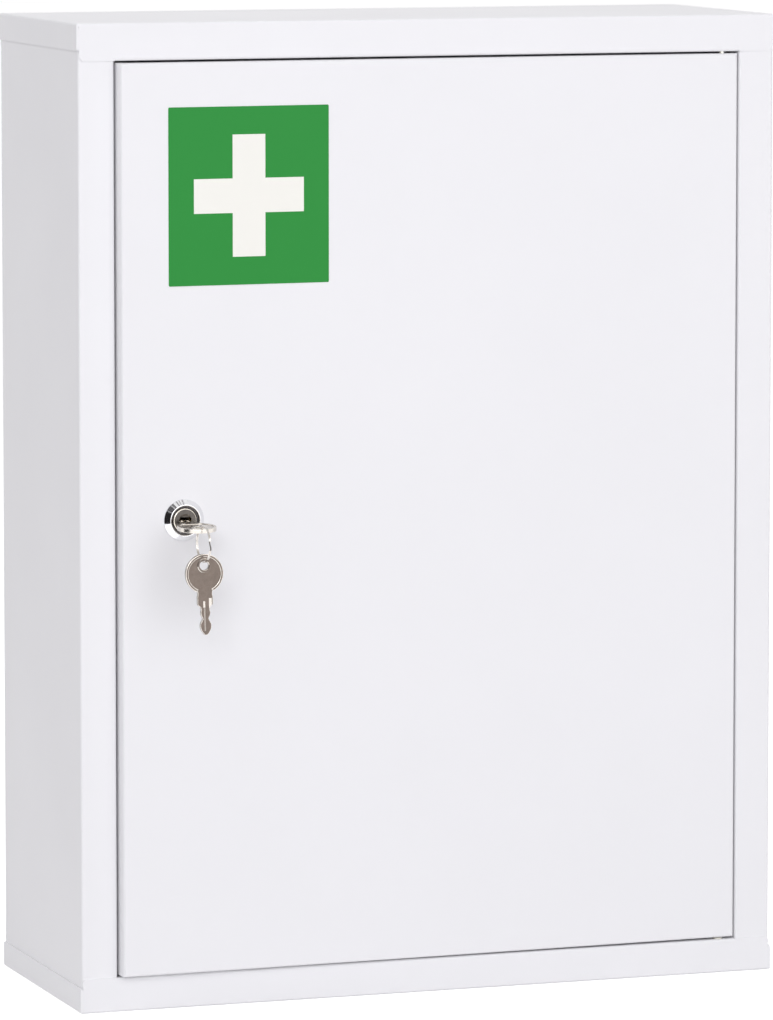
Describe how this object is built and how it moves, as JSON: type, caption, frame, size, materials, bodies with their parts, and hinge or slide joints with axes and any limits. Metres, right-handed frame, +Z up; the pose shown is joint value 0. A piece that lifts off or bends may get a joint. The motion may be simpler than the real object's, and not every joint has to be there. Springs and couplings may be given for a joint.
{
  "type": "lockable medicine cabinet",
  "caption": "Shallow white sheet-steel medicine cabinet with a side-hinged door, cam lock, keys on a ring, fixed shelves and a green first-aid sign.",
  "frame": {"origin": "centre of the underside, halfway across the width and the depth of the caps", "axes": "+X to the right seen from the front, +Y towards the wall, +Z up; the door faces -Y"},
  "size_m": [0.346, 0.1731, 0.46],
  "materials": {
    "cabinet_paint": "white powder coat, satin, very fine texture",
    "door_paint": "white powder coat, satin, very fine texture",
    "sign_green": "printed self-adhesive vinyl, satin",
    "sign_white": "printed self-adhesive vinyl, satin",
    "lock_chrome": "polished chrome plate",
    "plug_metal": "dark nickel plate, brushed face",
    "key_nickel": "nickel plate, lightly worn",
    "ring_steel": "nickel-plated spring steel wire",
    "zinc_steel": "bright zinc plate",
    "wafer_brass": "stamped brass",
    "bumper_rubber": "soft black rubber"
  },
  "bodies": {
    "cabinet": {"top_cap": "cabinet_paint", "bottom_cap": "cabinet_paint", "left_side_panel": "cabinet_paint", "right_side_panel": "cabinet_paint", "back_panel": "cabinet_paint", "upper_shelf": "cabinet_paint", "lower_shelf": "cabinet_paint", "shelf_brackets": "cabinet_paint", "shelf_screws": "zinc_steel", "upper_hinge_pin": "zinc_steel", "lower_hinge_pin": "zinc_steel", "hinge_washer": "zinc_steel", "door_bumpers": "bumper_rubber"},
    "door": {"door_panel": "door_paint", "first_aid_label": "sign_green", "first_aid_cross": "sign_white", "lock_body": "lock_chrome", "lock_nut": "zinc_steel"},
    "lock_plug_and_cam": {"lock_plug": "plug_metal", "tumbler_wafers": "wafer_brass", "lock_cam": "zinc_steel", "cam_screw": "zinc_steel"},
    "key": {"lock_key": "key_nickel"},
    "ring": {"key_ring": "ring_steel"},
    "spare": {"spare_key": "key_nickel"}
  },
  "joints": [
    {"name": "door_hinge", "type": "hinge", "parent": "cabinet", "child": "door", "pos_m": [0.1468, -0.0621, 0.2292], "axis": [0, 0, 1], "range_deg": [-1.2, 120]},
    {"name": "lock_turn", "type": "hinge", "parent": "door", "child": "lock_plug_and_cam", "pos_m": [-0.12397, -0.07097, 0.2299], "axis": [-0.0209, 0.9998, 0], "range_deg": [0, 90]},
    {"name": "key_slide", "type": "slide", "parent": "lock_plug_and_cam", "child": "key", "axis": [0.0209, -0.9978, -0.0628], "range_m": [0, 0.02]},
    {"name": "key_ring_swing", "type": "hinge", "parent": "key", "child": "ring", "pos_m": [-0.12313, -0.09892, 0.22872], "axis": [0.0645, -0.9979, 0], "range_deg": [-25, 25]},
    {"name": "spare_key_swing", "type": "hinge", "parent": "ring", "child": "spare", "pos_m": [-0.12313, -0.09892, 0.21342], "axis": [0.0209, -0.9998, 0], "range_deg": [-60, 60]}
  ]
}
